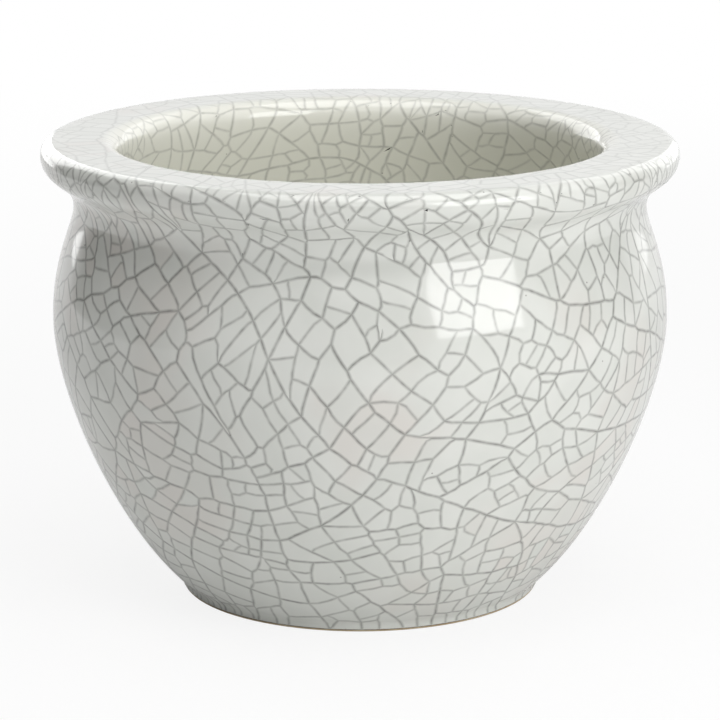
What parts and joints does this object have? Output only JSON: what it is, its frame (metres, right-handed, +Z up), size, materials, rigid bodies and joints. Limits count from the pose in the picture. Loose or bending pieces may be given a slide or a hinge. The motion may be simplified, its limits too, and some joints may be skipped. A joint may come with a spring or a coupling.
{
  "type": "jardiniere",
  "caption": "Round fishbowl jardiniere with a thick rolled rim, full belly and small turned foot, in pale grey-green crackle glaze.",
  "frame": {"origin": "centre of the foot ring on the surface that the pot stands on", "axes": "+Z up along the pot's axis of revolution; X and Y are alike"},
  "size_m": [0.305, 0.305, 0.22],
  "materials": {
    "biscuit": "bare fired stoneware, warm beige, matt, shown on the foot ring",
    "glaze": "thick glossy pale grey-green glaze with a net of soft grey crackle",
    "under_glaze": "the same glaze pooled in the recess under the foot"
  },
  "bodies": {
    "root": {"clay_body": "biscuit", "crackle_glaze": "glaze", "base_glaze": "under_glaze"}
  },
  "joints": []
}
